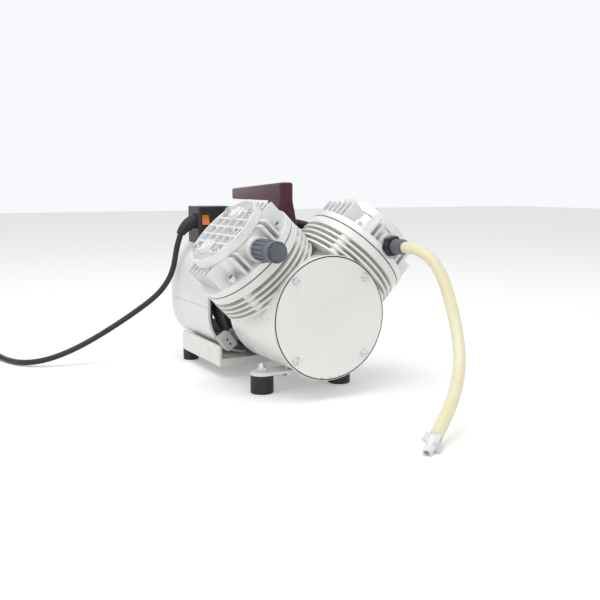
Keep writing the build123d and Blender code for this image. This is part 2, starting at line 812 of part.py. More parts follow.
# ---------------------------------------------------------------- handle
with BuildPart() as handle:
    with BuildSketch(Plane.YZ.offset(-grip_w / 2)):
        with BuildLine():
            Polyline(
                (handle_front, grip_low - 2), (handle_front, grip_top),
                (grip_end, grip_top - grip_drop), (grip_end, grip_low),
                (handle_front + leg_depth, grip_low), (handle_front + leg_depth, grip_low - 2),
                close=True,
            )
        make_face()
    extrude(amount=grip_w)
    leg_spot = (0, handle_front + leg_depth / 2)
    with BuildSketch(Plane.XY.offset(grip_low)):
        with Locations(leg_spot):
            Rectangle(grip_w, leg_depth)
    with BuildSketch(Plane.XY.offset(grip_low - leg_taper)):
        with Locations(leg_spot):
            Rectangle(leg_w, leg_depth)
    loft()
    with BuildSketch(Plane.XY.offset(leg_seat)):
        with Locations(leg_spot):
            Rectangle(leg_w, leg_depth)
    extrude(amount=grip_low - leg_taper - leg_seat)
    fillet(handle.edges().filter_by(Axis.X).group_by(Axis.Z)[-1], 3)
save(handle, "handle")

# ---------------------------------------------------------------- switch box
pivot_y = box_front + 0.8
with BuildPart() as switch_box:
    with BuildSketch(Plane.XY.offset(box_top)):
        with Locations((box_x, box_front + box_depth / 2)):
            RectangleRounded(box_w, box_depth, 3)
    extrude(amount=-(box_top - shell_top + 14))
    fillet(switch_box.edges().group_by(Axis.Z)[-1], 1.5)
    with BuildSketch(across(box_front + box_depth + 1)):
        shell_outline()
    extrude(amount=box_depth + 2, mode=Mode.SUBTRACT)
    # raised bezel and pocket of the rocker, with its pivot holes
    bezel = Plane(origin=(rocker_x, box_front, rocker_z), x_dir=(1, 0, 0), z_dir=(0, -1, 0))
    with BuildSketch(bezel):
        Rectangle(rocker_w + 2 * rocker_clear + 3, 2 * (rocker_r + rocker_clear) + 3)
    extrude(amount=1)
    with BuildSketch(bezel.offset(1)):
        Rectangle(rocker_w + 2 * rocker_clear, 2 * (rocker_r + rocker_clear))
    extrude(amount=-12, mode=Mode.SUBTRACT)
    pivot = Plane(origin=(rocker_x, pivot_y, rocker_z), x_dir=(0, 1, 0), z_dir=(1, 0, 0))
    with BuildSketch(pivot.offset(-rocker_w / 2 - 1.6)):
        Circle(1.5 + run_fit)
    extrude(amount=rocker_w + 3.2, mode=Mode.SUBTRACT)
save(switch_box, "switch_box")

with BuildPart() as rocker:
    with BuildSketch(pivot.offset(-rocker_w / 2)):
        with BuildLine():
            Polyline((6.5, 6.5), (-1.2, 6.5), (-0.9, 0.4), (-3.9, -6.5), (6.5, -6.5), close=True)
        make_face()
        Circle(rocker_r, mode=Mode.INTERSECT)
    extrude(amount=rocker_w)
    with BuildSketch(pivot.offset(-rocker_w / 2 - 1.4)):
        Circle(1.5)
    extrude(amount=rocker_w + 2.8)
save(rocker, "rocker")

boot_stations = [
    ((box_x - box_w / 2, 187.5, 177), (-0.93, -0.08, -0.36), 8.6),
    ((-62, 186, 170.5), (-0.8, -0.08, -0.6), 7.2),
    ((-69.5, 185.5, 161), (-0.353, -0.053, -0.934), cord_d / 2 + 1.8),
]
with BuildPart() as strain_relief:
    for origin, normal, r in boot_stations:
        with BuildSketch(Plane(origin=origin, x_dir=(0, 1, 0), z_dir=normal)):
            Circle(r)
    loft()
    with BuildSketch(Plane(origin=boot_stations[0][0], x_dir=(0, 1, 0), z_dir=(-1, 0, 0))):
        Circle(9.4)
    extrude(amount=2.5)
    split(bisect_by=Plane(origin=boot_stations[0][0], x_dir=(0, 1, 0), z_dir=(-1, 0, 0)),
          keep=Keep.TOP)
save(strain_relief, "strain_relief")


# ---------------------------------------------------------------- ports and hoses
port_left = port_plane(left, -port_face)
port_right = port_plane(right, -port_face)
with BuildPart() as silencer_body:
    with BuildSketch(port_left.offset(-12)):
        Circle(port_bore_r)
    extrude(amount=12)
    with BuildSketch(port_left):
        Circle(11)
        with PolarLocations(11, 14):
            Rectangle(1.8, 1.8, mode=Mode.SUBTRACT)
    extrude(amount=25)
    with BuildSketch(port_left):
        Circle(11)
    extrude(amount=2.5)
save(silencer_body, "silencer_body")

with BuildPart() as silencer_cap:
    with BuildSketch(port_left.offset(25)):
        Circle(10.6)
    extrude(amount=11)
    with BuildSketch(port_left.offset(36)):
        RegularPolygon(9.4, 6)
    extrude(amount=4)
save(silencer_cap, "silencer_cap")

with BuildPart() as inlet_nut:
    with BuildSketch(port_right):
        RegularPolygon(11, 6)
        Circle(5.5, mode=Mode.SUBTRACT)
    extrude(amount=9)
save(inlet_nut, "inlet_nut")

with BuildPart() as hose_barb:
    with BuildSketch(port_right.offset(-12)):
        Circle(5.4)
    extrude(amount=23)
    for k in range(3):
        with BuildSketch(port_right.offset(9 + 5.5 * k)):
            Circle(7.4)
        extrude(amount=4.6, taper=9)
        with BuildSketch(port_right.offset(9 + 5.5 * k + 4.6)):
            Circle(6)
        extrude(amount=0.9)
    with BuildSketch(port_right.offset(barb_len)):
        Circle(2.5)
    extrude(amount=-(barb_len + 12), mode=Mode.SUBTRACT)
save(hose_barb, "hose_barb")


def route_wire(points, label):
    """Straight runs joined by tangent arcs, each arc as large as its two runs allow."""
    pts = [Vector(*p) for p in points]
    radii = []
    for a, b, c in zip(pts, pts[1:], pts[2:]):
        turn = radians((b - a).get_angle(c - b))
        radii.append(0.45 * min((b - a).length, (c - b).length) / tan(turn / 2))
    print(label, "radii", [round(r) for r in radii])
    return FilletPolyline(*pts, radius=radii)


def tube(points, d, label):
    with BuildPart() as cord:
        with BuildLine() as path:
            route_wire(points, label)
        with BuildSketch(Plane(origin=path.line @ 0, z_dir=path.line % 0)):
            Circle(d / 2)
        sweep()
    length = sum(e.length for e in path.line.edges())
    share = cord.part.volume / (pi * d * d / 4 * length)
    print(label, "length", round(length, 1), "volume over section x length", round(share, 4))
    return cord


def elbow(frame, side):
    """Fitting screwed into a rear port, turned up towards the other head."""
    base = port_plane(frame, port_face)
    out = Plane(origin=base.origin, x_dir=base.x_dir, z_dir=base.z_dir * -1)
    knee = out.offset(elbow_out)
    turn = Plane(origin=knee.origin, z_dir=(-side * cos(radians(28)), 0, sin(radians(28))))
    with BuildPart() as fitting:
        with BuildSketch(out.offset(-12)):
            Circle(port_bore_r)
        extrude(amount=12)
        with BuildSketch(out):
            RegularPolygon(8, 6)
        extrude(amount=5)
        with BuildSketch(out):
            Circle(elbow_r)
        extrude(amount=elbow_out)
        with Locations(knee):
            Sphere(elbow_r + 0.6)
        with BuildSketch(turn):
            Circle(elbow_r)
        extrude(amount=elbow_up)
    return fitting, turn.offset(elbow_up)


elbow_left, hose_from = elbow(left, -1)
elbow_right, hose_to = elbow(right, 1)
save(elbow_left, "elbow_left")
save(elbow_right, "elbow_right")
start, end = hose_from.origin, hose_to.origin
link_points = [
    tuple(start), tuple(start + hose_from.z_dir * 22), (-12, start.Y + 3, start.Z + link_rise),
    (16, start.Y, start.Z + link_rise - 1), tuple(end + hose_to.z_dir * 20), tuple(end),
]
link_hose = tube(link_points, link_hose_d, "link_hose")
save(link_hose, "link_hose")

hose_start = port_right.offset(barb_len).origin
hose_points = [
    tuple(hose_start), (hose_start.X, -103.5, hose_start.Z), (74.6, -117.6, 154.6),
    (78.5, -129.5, 146), (82, -139.5, 131), (83.5, -149, 110), (80.5, -163, 86),
    (71, -181, 62), (52, -201, 43), (25.5, -222, 25.4), (-3.6, -239.6, 10.5),
]
vacuum_hose = tube(hose_points, hose_d, "vacuum_hose")
save(vacuum_hose, "vacuum_hose")

cord_points = [
    boot_stations[-1][0], (-73.5, 184.9, 150.4), (-76, 186.5, 137), (-77.5, 190, 121),
    (-82, 196, 104), (-95, 203, 84), (-126, 211, 61), (-164, 219, 37), (-199, 225, 19),
    (-230, 234, 8), (-254, 251, 4), (-268, 282, 3.6), (-274.5, 318, 4.5), (-277, 350, 7),
]
mains_cord = tube(cord_points, cord_d, "mains_cord")
save(mains_cord, "mains_cord")

run_in = Vector(*hose_points[-1]) - Vector(*hose_points[-2])
tip = Plane(origin=hose_points[-1], x_dir=(run_in.Y, -run_in.X, 0), z_dir=run_in)
with BuildPart() as hose_tip:
    with BuildSketch(tip):
        Circle(5.2)
    extrude(amount=20, taper=3)
    with BuildSketch(tip.offset(1)):
        with PolarLocations(0, 4, start_angle=45):
            with Locations((5.5, 0)):
                RectangleRounded(9, 2.6, 1.1)
    extrude(amount=10)
    with BuildSketch(tip.offset(20)):
        Circle(2.6)
    extrude(amount=-17, mode=Mode.SUBTRACT)
save(hose_tip, "hose_tip")

# the rest of the cord lies in a neat coil, and its end leaves the top turn for the plug
coil_x, coil_y = -322.0, 352.0
coil_r = 44.0
coil_h = 20.0
with BuildPart() as cord_coil:
    with BuildSketch():
        with Locations((coil_x, coil_y)):
            Circle(coil_r)
            Circle(coil_r - 24, mode=Mode.SUBTRACT)
    extrude(amount=coil_h)
    fillet(cord_coil.edges(), 6)
save(cord_coil, "cord_coil")

plug_cord = Plane(origin=(coil_x + coil_r - cord_d, coil_y + coil_r / 2 - 1, plug_r),
                  x_dir=(1, 0, 0), z_dir=(0, 1, 0))
plug_axis = plug_cord.offset(plug_lead)
with BuildPart() as mains_plug:
    with BuildSketch(plug_cord):
        Circle(cord_d / 2)
    extrude(amount=plug_lead)
    with BuildSketch(plug_axis):
        Circle(5)
    with BuildSketch(plug_axis.offset(plug_neck)):
        Circle(9)
    loft()
    with BuildSketch(plug_axis.offset(plug_neck)):
        Circle(plug_r - 3)
    with BuildSketch(plug_axis.offset(plug_neck + plug_flare)):
        Circle(plug_r)
    loft()
    with BuildSketch(plug_axis.offset(plug_neck + plug_flare)):
        Circle(plug_r)
    extrude(amount=plug_len - plug_neck - plug_flare)
save(mains_plug, "mains_plug")

with BuildPart() as plug_pins:
    with BuildSketch(plug_axis.offset(plug_len)):
        with GridLocations(19, 0, 2, 1):
            Circle(2.4)
    extrude(amount=19)
    fillet(plug_pins.edges().group_by(Axis.Y)[-1], 1.2)
save(plug_pins, "plug_pins")
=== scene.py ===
"""Finishes and fine pieces of a two-headed diaphragm vacuum pump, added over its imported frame."""

import json
from math import cos, pi, radians, sin

import bmesh
import bpy
from mathutils import Matrix, Vector


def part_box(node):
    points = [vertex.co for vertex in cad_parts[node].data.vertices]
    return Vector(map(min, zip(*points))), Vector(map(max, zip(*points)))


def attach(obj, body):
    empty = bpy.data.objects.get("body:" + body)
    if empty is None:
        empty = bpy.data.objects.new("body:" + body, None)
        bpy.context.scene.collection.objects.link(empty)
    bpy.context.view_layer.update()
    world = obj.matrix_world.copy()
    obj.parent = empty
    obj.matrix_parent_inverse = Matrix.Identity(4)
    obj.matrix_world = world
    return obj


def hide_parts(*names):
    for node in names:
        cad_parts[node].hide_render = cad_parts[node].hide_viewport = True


bl_info = {
    "name": "Diaphragm Vacuum Pump",
    "version": (1, 0, 0),
    "blender": (4, 5, 0),
    "location": "View3D > Sidebar > Vacuum Pump",
    "description": "Dresses the packed pump with its finishes, hose, mains cord and fine pieces",
    "category": "Object",
}

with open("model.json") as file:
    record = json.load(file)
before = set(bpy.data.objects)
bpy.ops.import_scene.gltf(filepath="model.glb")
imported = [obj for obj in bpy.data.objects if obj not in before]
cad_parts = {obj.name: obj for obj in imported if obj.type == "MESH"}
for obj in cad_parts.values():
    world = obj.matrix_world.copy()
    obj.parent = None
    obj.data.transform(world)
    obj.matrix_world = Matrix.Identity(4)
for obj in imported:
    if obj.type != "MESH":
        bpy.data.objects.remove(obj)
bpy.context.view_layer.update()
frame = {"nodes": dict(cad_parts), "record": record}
nodes = frame["nodes"]
slot_colour = {m["slot"]: m["base_color"] for m in frame["record"]["materials"]}
node_slot = {p["node"]: p["material_slot"] for p in frame["record"]["subparts"]}

# Route of the mains cord from the end of its boot to the coil, in metres.
CORD_ROUTE = [
    (-0.0695, 0.1855, 0.161), (-0.0735, 0.1849, 0.1504), (-0.076, 0.1865, 0.137),
    (-0.0775, 0.190, 0.121), (-0.082, 0.196, 0.104), (-0.095, 0.203, 0.084),
    (-0.126, 0.211, 0.061), (-0.164, 0.219, 0.037), (-0.199, 0.225, 0.019),
    (-0.230, 0.234, 0.008), (-0.254, 0.251, 0.004), (-0.268, 0.282, 0.0036),
    (-0.2745, 0.318, 0.0042), (-0.2785, 0.346, 0.0045),
]

# Route of the suction hose from the barb to its fitting, in metres.
HOSE_ROUTE = [
    (0.072125, -0.0885, 0.158125), (0.072125, -0.1035, 0.158125), (0.0746, -0.1176, 0.1546),
    (0.0785, -0.1295, 0.146), (0.082, -0.1395, 0.131), (0.0835, -0.149, 0.110),
    (0.0805, -0.163, 0.086), (0.071, -0.181, 0.062), (0.052, -0.201, 0.043),
    (0.0255, -0.222, 0.0254), (-0.0036, -0.2396, 0.0105),
]

# Stations of the coil: turns made so far, radius and height of the cord's middle.
COIL_STATIONS = [
    (0.0, 0.0405, 0.0045), (1.85, 0.0276, 0.0045), (2.0, 0.0268, 0.0070), (2.2, 0.0278, 0.0114),
    (4.08, 0.0415, 0.0114), (4.35, 0.0405, 0.0183), (5.0, 0.0335, 0.0183),
]

# Lamps: place, point aimed at, and diameter, in metres.
KEY_LAMP = ((-0.5, -0.3, 1.9), (0.0, 0.05, 0.1), 1.6)
FILL_LAMP = ((-1.6, -1.2, 0.9), (0.0, 0.0, 0.1), 1.2)
FLOOR_REACH = 6.0


def colour_property(label, about, default):
    return bpy.props.FloatVectorProperty(
        name=label, description=about, default=default, size=3, min=0.0, max=1.0,
        subtype="COLOR",
    )


def length_property(label, about, default, low, high):
    return bpy.props.FloatProperty(
        name=label, description=about, default=default, min=low, max=high, unit="LENGTH",
        subtype="DISTANCE", precision=4,
    )


class VACUUMPUMP_PG_colours(bpy.types.PropertyGroup):
    """Colours of the pump's finishes."""

    enamel: colour_property("Enamel", "Warm white paint of the crankcase and the tray",
                            (0.85, 0.855, 0.825))
    casting: colour_property("Casting", "Blasted aluminium of the heads and their lids",
                             (0.84, 0.845, 0.845))
    cover: colour_property("Front cover", "Satin sheet of the round front cover",
                           (0.84, 0.84, 0.815))
    shell: colour_property("Fan cover", "Moulded plastic of the fan cover",
                           (0.87, 0.875, 0.85))
    handle: colour_property("Handle", "Glossy plastic of the carrying handle",
                            (0.075, 0.008, 0.022))
    rocker: colour_property("Rocker", "Translucent plastic of the switch rocker",
                            tuple(slot_colour["orange_plastic"]))
    silencer: colour_property("Silencer", "Moulded plastic of the outlet silencer",
                              tuple(slot_colour["grey_plastic"]))
    motor: colour_property("Motor", "Paint of the ribbed motor housing", (0.20, 0.235, 0.28))
    hose: colour_property("Hose", "Aged silicone of the suction hose", (0.95, 0.90, 0.68))
    fitting: colour_property("Fitting", "Plastic of the fitting on the hose",
                             tuple(slot_colour["white_fitting"]))


class VACUUMPUMP_PG_sizes(bpy.types.PropertyGroup):
    """Sizes of the pieces that are made here."""

    cord_diameter: length_property("Cord diameter", "Outside of the mains cord",
                                   0.007, 0.004, 0.012)
    cord_length: length_property("Cord length", "Mains cord from its boot to the plug",
                                 1.5, 0.5, 5.0)
    hose_diameter: length_property("Hose diameter", "Outside of the suction hose",
                                   0.012, 0.006, 0.020)
    hose_length: length_property("Hose length", "Suction hose from the barb to its fitting",
                                 0.25, 0.1, 2.0)
    coil_x: length_property("Coil X", "Middle of the put-away coil, across the pump",
                            -0.322, -1.0, 1.0)
    coil_y: length_property("Coil Y", "Middle of the put-away coil, along the shaft",
                            0.352, -1.0, 1.0)
    tie_width: length_property("Tie width", "Width of the strap round the coil",
                               0.008, 0.003, 0.020)
    edge_round: length_property("Edge rounding", "Radius of the softened edges on castings",
                                0.0007, 0.0, 0.003)
    handle_round: length_property("Handle rounding", "Width of the rounded edges of the handle",
                                  0.0028, 0.0, 0.006)
    plug_length: length_property("Plug length", "Mains plug from its nose to its face",
                                 0.048, 0.030, 0.070)
    boss_spread: length_property("Boss spread", "Valve bosses from the middle of a lid",
                                 0.0235, 0.010, 0.035)
    boss_radius: length_property("Boss radius", "Outside of a valve boss where it meets its lid",
                                 0.0083, 0.005, 0.015)
    boss_rise: length_property("Boss rise", "Height of a valve boss above its lid",
                               0.0030, 0.001, 0.006)
    # The dark line round the front cover is partly the gasket joint and partly painted shadow of
    # the gap; the rim lies outside it.
    joint_shadow_width: length_property("Joint width", "Dark joint line round the front cover",
                                 0.0009, 0.0002, 0.003)
    rim_width: length_property("Rim width", "Enamelled rim outside the joint line",
                               0.0010, 0.0002, 0.003)
    # The black ring on the motor is partly a rubber ring and partly painted shadow in the gap
    # between the fan cover and the motor.
    ring_shadow_radius: length_property("Air ring radius", "Outside of the black ring on the motor",
                                 0.0605, 0.050, 0.063)
    ring_shadow_front: length_property("Air ring front", "How far the ring stands before the fan cover",
                                0.016, 0.0, 0.030)
    ring_shadow_rear: length_property("Air ring rear", "How far the ring reaches into the fan cover",
                               0.010, 0.0, 0.030)


class VACUUMPUMP_PG_stage(bpy.types.PropertyGroup):
    """Camera, lamps and ground of the picture."""

    camera_place: bpy.props.FloatVectorProperty(
        name="Camera", description="Where the camera stands", size=3,
        default=(-0.4121, -0.7488, 0.2205), subtype="TRANSLATION", unit="LENGTH", precision=4)
    camera_turn: bpy.props.FloatVectorProperty(
        name="Turn", description="Tilt, roll and heading of the camera", size=3,
        default=(radians(81.79), radians(-0.07), radians(-28.7)), subtype="EULER",
        unit="ROTATION")
    focal_length: bpy.props.FloatProperty(
        name="Focal length", description="Lens of the camera in millimetres on a 36 mm sensor",
        default=47.49, min=10, max=300)
    floor: colour_property("Floor", "Paint of the floor and the backdrop", (0.93, 0.93, 0.935))
    lift: bpy.props.FloatProperty(
        name="Paper glow", description="How much the ground glows for the camera alone",
        default=0.20, min=0.0, max=1.0)
    sky: bpy.props.FloatProperty(
        name="Sky", description="Strength of the even light from all round",
        default=0.62, min=0.0, max=2.0)
    key_power: bpy.props.FloatProperty(
        name="Key lamp", description="Power of the large lamp overhead", default=17.0,
        min=0.0, max=200.0, unit="POWER")
    fill_power: bpy.props.FloatProperty(
        name="Fill lamp", description="Power of the lamp beside the camera", default=3.0,
        min=0.0, max=200.0, unit="POWER")


# ---------------------------------------------------------------- finishes
class Finish:
    """A procedural material, grown node by node on the piece's own coordinates."""

    def __init__(self, name, colour, roughness, metallic=0.0, **more):
        self.material = bpy.data.materials.new(name)
        self.material.use_nodes = True
        self.material.diffuse_color = (*colour, 1)
        self.tree = self.material.node_tree
        self.tree.nodes.clear()
        self.shader = self.add("ShaderNodeBsdfPrincipled")
        output = self.add("ShaderNodeOutputMaterial")
        self.join(self.shader.outputs["BSDF"], output.inputs["Surface"])
        self.place = self.add("ShaderNodeTexCoord").outputs["Object"]
        self.colour = tuple(colour)
        self.put(**{"Base Color": (*colour, 1), "Roughness": roughness, "Metallic": metallic})
        self.put(**more)
        self.paint = None
        self.relief = None

    def add(self, kind, **settings):
        node = self.tree.nodes.new(kind)
        for key, value in settings.items():
            setattr(node, key, value)
        return node

    def join(self, source, target):
        self.tree.links.new(source, target)

    def put(self, **values):
        for socket, value in values.items():
            self.shader.inputs[socket.replace("_", " ")].default_value = value

    def stretched(self, scale, turn=(0, 0, 0), at=(0, 0, 0)):
        """The piece's coordinates, scaled and turned for a pattern with a grain."""
        node = self.add("ShaderNodeMapping")
        node.inputs["Scale"].default_value = scale
        node.inputs["Rotation"].default_value = turn
        node.inputs["Location"].default_value = at
        self.join(self.place, node.inputs["Vector"])
        return node.outputs["Vector"]

    def noise(self, size, detail=3.0, rough=0.5, place=None, warp=0.0):
        """Soft noise whose blotches are about size metres across."""
        node = self.add("ShaderNodeTexNoise")
        node.inputs["Scale"].default_value = 1.0 / size
        node.inputs["Detail"].default_value = detail
        node.inputs["Roughness"].default_value = rough
        node.inputs["Distortion"].default_value = warp
        self.join(place or self.place, node.inputs["Vector"])
        return node.outputs["Fac"]

    def window(self, source, low, high, to_low=0.0, to_high=1.0):
        """Source between low and high, spread smoothly from to_low to to_high."""
        node = self.add("ShaderNodeMapRange", interpolation_type="SMOOTHSTEP")
        for socket, value in (("From Min", low), ("From Max", high),
                              ("To Min", to_low), ("To Max", to_high)):
            node.inputs[socket].default_value = value
        self.join(source, node.inputs["Value"])
        return node.outputs["Result"]

    def times(self, a, b):
        node = self.add("ShaderNodeMath", operation="MULTIPLY")
        self.join(a, node.inputs[0])
        self.join(b, node.inputs[1])
        return node.outputs["Value"]

    def along(self, axis):
        """One coordinate of the piece, in metres."""
        node = self.add("ShaderNodeSeparateXYZ")
        self.join(self.place, node.inputs["Vector"])
        return node.outputs[axis]

    def tint(self, mask, colour):
        """Lays a colour over what is painted so far, where mask is 1."""
        node = self.add("ShaderNodeMix", data_type="RGBA")
        if self.paint is None:
            node.inputs["A"].default_value = (*self.colour, 1)
        else:
            self.join(self.paint, node.inputs["A"])
        node.inputs["B"].default_value = (*colour, 1)
        self.join(mask, node.inputs["Factor"])
        self.paint = node.outputs["Result"]
        self.join(self.paint, self.shader.inputs["Base Color"])

    def polish(self, source, low, high):
        """Lets roughness wander from low to high with source."""
        self.join(self.window(source, 0.25, 0.75, low, high), self.shader.inputs["Roughness"])

    def soften(self, radius):
        """Rounds edges for the light alone."""
        node = self.add("ShaderNodeBevel", samples=6)
        node.inputs["Radius"].default_value = radius
        self.relief = node.outputs["Normal"]
        self.join(self.relief, self.shader.inputs["Normal"])

    def bump(self, source, height, strength=1.0):
        """Raises the surface by height metres where source is 1."""
        node = self.add("ShaderNodeBump")
        node.inputs["Distance"].default_value = height
        node.inputs["Strength"].default_value = strength
        self.join(source, node.inputs["Height"])
        if self.relief is not None:
            self.join(self.relief, node.inputs["Normal"])
        self.relief = node.outputs["Normal"]
        self.join(self.relief, self.shader.inputs["Normal"])


def shade(colour, factor):
    return tuple(min(1.0, c * factor) for c in colour)


def enamel_paint(name, colour):
    """Thick warm white paint with an orange-peel surface, faint yellowing and a little grime."""
    paint = Finish(name, colour, 0.26, IOR=1.5, Coat_Weight=0.25, Coat_Roughness=0.12)
    paint.soften(bpy.context.scene.pump_sizes.edge_round)
    paint.tint(paint.window(paint.noise(0.045, 4), 0.45, 0.72), shade(colour, 0.93))
    warm = (colour[0], colour[1] * 0.985, colour[2] * 0.93)
    paint.tint(paint.window(paint.noise(0.11, 2), 0.48, 0.70), warm)
    paint.tint(paint.window(paint.noise(0.0016, 2, 0.7), 0.735, 0.80), (0.42, 0.37, 0.30))
    paint.polish(paint.noise(0.02, 4), 0.22, 0.36)
    paint.bump(paint.noise(0.0022, 2), 0.00006)
    return paint.material


def casting():
    """Blasted die-cast aluminium: fine grain, chalky patches, darker pores."""
    colour = bpy.context.scene.pump_colours.casting
    cast = Finish("cast_aluminium_finish", colour, 0.42, metallic=0.30, IOR=1.6)
    cast.soften(bpy.context.scene.pump_sizes.edge_round)
    cast.tint(cast.window(cast.noise(0.03, 5, 0.6), 0.42, 0.72), shade(colour, 0.90))
    cast.tint(cast.window(cast.noise(0.0009, 3, 0.7), 0.62, 0.78), shade(colour, 0.72))
    cast.polish(cast.noise(0.006, 4), 0.36, 0.55)
    cast.bump(cast.noise(0.0007, 3, 0.65), 0.00010)
    cast.bump(cast.noise(0.008, 3), 0.00012)
    return cast.material


def cover_sheet():
    """Satin aluminium sheet with a faint upright grain and rust at its lowest edge."""
    colour = bpy.context.scene.pump_colours.cover
    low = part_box("front_cover")[0].z
    sheet = Finish("polished_aluminium_finish", colour, 0.36, metallic=0.45)
    sheet.soften(0.0006)
    grain = sheet.noise(0.002, 3, 0.6, place=sheet.stretched((1.0, 1.0, 0.02)))
    sheet.tint(sheet.window(grain, 0.40, 0.75), shade(colour, 0.965))
    sheet.tint(sheet.window(sheet.noise(0.05, 3), 0.45, 0.75), shade(colour, 0.97))
    edge = sheet.window(sheet.along("Z"), low + 0.0034, low + 0.0006)
    spots = sheet.window(sheet.noise(0.0028, 4, 0.7), 0.50, 0.60)
    sheet.tint(sheet.times(edge, spots), (0.36, 0.17, 0.035))
    stray_band = sheet.window(sheet.along("Z"), low + 0.014, low + 0.002)
    stray = sheet.window(sheet.noise(0.0035, 2, 0.8), 0.70, 0.76)
    sheet.tint(sheet.times(stray_band, stray), (0.45, 0.22, 0.05))
    sheet.polish(grain, 0.32, 0.44)
    sheet.bump(grain, 0.00002)
    return sheet.material


def turned_steel():
    """Bright zinc-plated steel with fine scratches."""
    colour = (0.70, 0.70, 0.71)
    steel = Finish("steel_finish", colour, 0.24, metallic=1.0)
    steel.soften(0.0003)
    steel.tint(steel.window(steel.noise(0.004, 4, 0.65), 0.45, 0.75), shade(colour, 0.78))
    steel.polish(steel.noise(0.0008, 4), 0.18, 0.38)
    steel.bump(steel.noise(0.0012, 4, 0.7), 0.00003)
    return steel.material


def dark_steel():
    """Oiled laminations and machined steel inside the motor."""
    steel = Finish("dark_steel_finish", (0.17, 0.17, 0.18), 0.40, metallic=0.9)
    layers = steel.add("ShaderNodeTexWave", bands_direction="Y")
    layers.inputs["Scale"].default_value = 300.0
    layers.inputs["Distortion"].default_value = 0.4
    steel.join(steel.place, layers.inputs["Vector"])
    steel.tint(steel.window(layers.outputs["Fac"], 0.2, 0.8), (0.10, 0.10, 0.11))
    steel.polish(steel.noise(0.004, 3), 0.32, 0.52)
    steel.bump(layers.outputs["Fac"], 0.00005)
    return steel.material


def moulded(name, colour, roughness, grain=0.0009, height=0.00003, wear=0.85, **more):
    """Moulded plastic: slight mottling, eroded-mould grain and soft edges."""
    plastic = Finish(name, colour, roughness, IOR=1.49, **more)
    plastic.soften(0.0008)
    plastic.tint(plastic.window(plastic.noise(0.018, 4), 0.42, 0.75), shade(colour, wear))
    plastic.polish(plastic.noise(0.007, 4), roughness * 0.85, min(1.0, roughness * 1.25))
    plastic.bump(plastic.noise(grain, 2), height)
    return plastic.material


def handle_plastic():
    """Deep red-brown gloss plastic with darker patches and lighter upright streaks of painted
    highlight.
    """
    colour = bpy.context.scene.pump_colours.handle
    grip = Finish("burgundy_plastic_finish", colour, 0.16, IOR=1.42)
    grip.soften(0.0016)
    # Lighter upright streaks are painted highlight streaks, laid into the colour.
    highlight_streak = grip.noise(0.004, 5, 0.65, place=grip.stretched((1.0, 1.0, 0.25)))
    grip.tint(grip.window(highlight_streak, 0.40, 0.75), shade(colour, 1.15))
    grip.tint(grip.window(grip.noise(0.02, 3), 0.50, 0.75), shade(colour, 0.6))
    grip.polish(grip.noise(0.012, 2), 0.12, 0.20)
    grip.bump(grip.noise(0.006, 1), 0.00002)
    return grip.material


def rocker_plastic():
    """Orange translucent rocker with a soft glow in its body."""
    colour = bpy.context.scene.pump_colours.rocker
    key = Finish("orange_plastic_finish", colour, 0.22, IOR=1.49, Subsurface_Weight=0.3,
                 Subsurface_Scale=0.003, Coat_Weight=0.3)
    key.soften(0.0006)
    key.tint(key.window(key.noise(0.004, 3), 0.40, 0.75), (colour[0], colour[1] * 1.35, 0.05))
    key.polish(key.noise(0.002, 3), 0.18, 0.30)
    key.bump(key.noise(0.0012, 2), 0.00002)
    return key.material


def rubber():
    """Black rubber, dull, with a dusty bloom."""
    skin = Finish("black_rubber_finish", (0.014, 0.014, 0.015), 0.55, IOR=1.5)
    skin.tint(skin.window(skin.noise(0.006, 5, 0.7), 0.55, 0.80), (0.05, 0.05, 0.052))
    skin.polish(skin.noise(0.003, 4), 0.46, 0.68)
    skin.bump(skin.noise(0.0008, 3), 0.00005)
    return skin.material


def cord_jacket():
    """Black flexible jacket of the mains cord, lightly glossy, with faint lay marks."""
    jacket = Finish("cord_finish", (0.012, 0.012, 0.013), 0.36, IOR=1.5)
    jacket.tint(jacket.window(jacket.noise(0.010, 4), 0.50, 0.78), (0.028, 0.028, 0.030))
    jacket.polish(jacket.noise(0.004, 4), 0.30, 0.46)
    jacket.bump(jacket.noise(0.0016, 2), 0.00004)
    return jacket.material


def hose_silicone():
    """Aged translucent silicone: light spreads through it, and its skin is glossy."""
    colour = bpy.context.scene.pump_colours.hose
    hose = Finish("silicone_hose_finish", colour, 0.24, IOR=1.41, Subsurface_Weight=0.55,
                  Subsurface_Radius=(1.0, 0.8, 0.45), Subsurface_Scale=0.006,
                  Transmission_Weight=0.15)
    hose.tint(hose.window(hose.noise(0.06, 1), 0.35, 0.80),
              (colour[0] * 0.98, colour[1] * 0.965, colour[2] * 0.88))
    hose.polish(hose.noise(0.03, 2), 0.16, 0.26)
    hose.bump(hose.noise(0.02, 1), 0.00006)
    return hose.material


def fitting_plastic():
    """Cold white moulded fitting, a little translucent."""
    colour = bpy.context.scene.pump_colours.fitting
    body = Finish("white_fitting_finish", colour, 0.30, IOR=1.49, Subsurface_Weight=0.3,
                  Subsurface_Scale=0.002)
    body.soften(0.0006)
    body.tint(body.window(body.noise(0.006, 3), 0.42, 0.72), shade(colour, 0.92))
    body.polish(body.noise(0.003, 3), 0.24, 0.40)
    body.bump(body.noise(0.0012, 2), 0.00003)
    return body.material


def seal_ring():
    """Yellowed fluoroelastomer edge of the head seals."""
    ring = Finish("seal_yellow_finish", tuple(slot_colour["seal_yellow"]), 0.5)
    ring.tint(ring.window(ring.noise(0.006, 4, 0.7), 0.40, 0.66), (0.46, 0.34, 0.15))
    ring.polish(ring.noise(0.003, 3), 0.42, 0.62)
    ring.bump(ring.noise(0.0008, 3), 0.00005)
    return ring.material


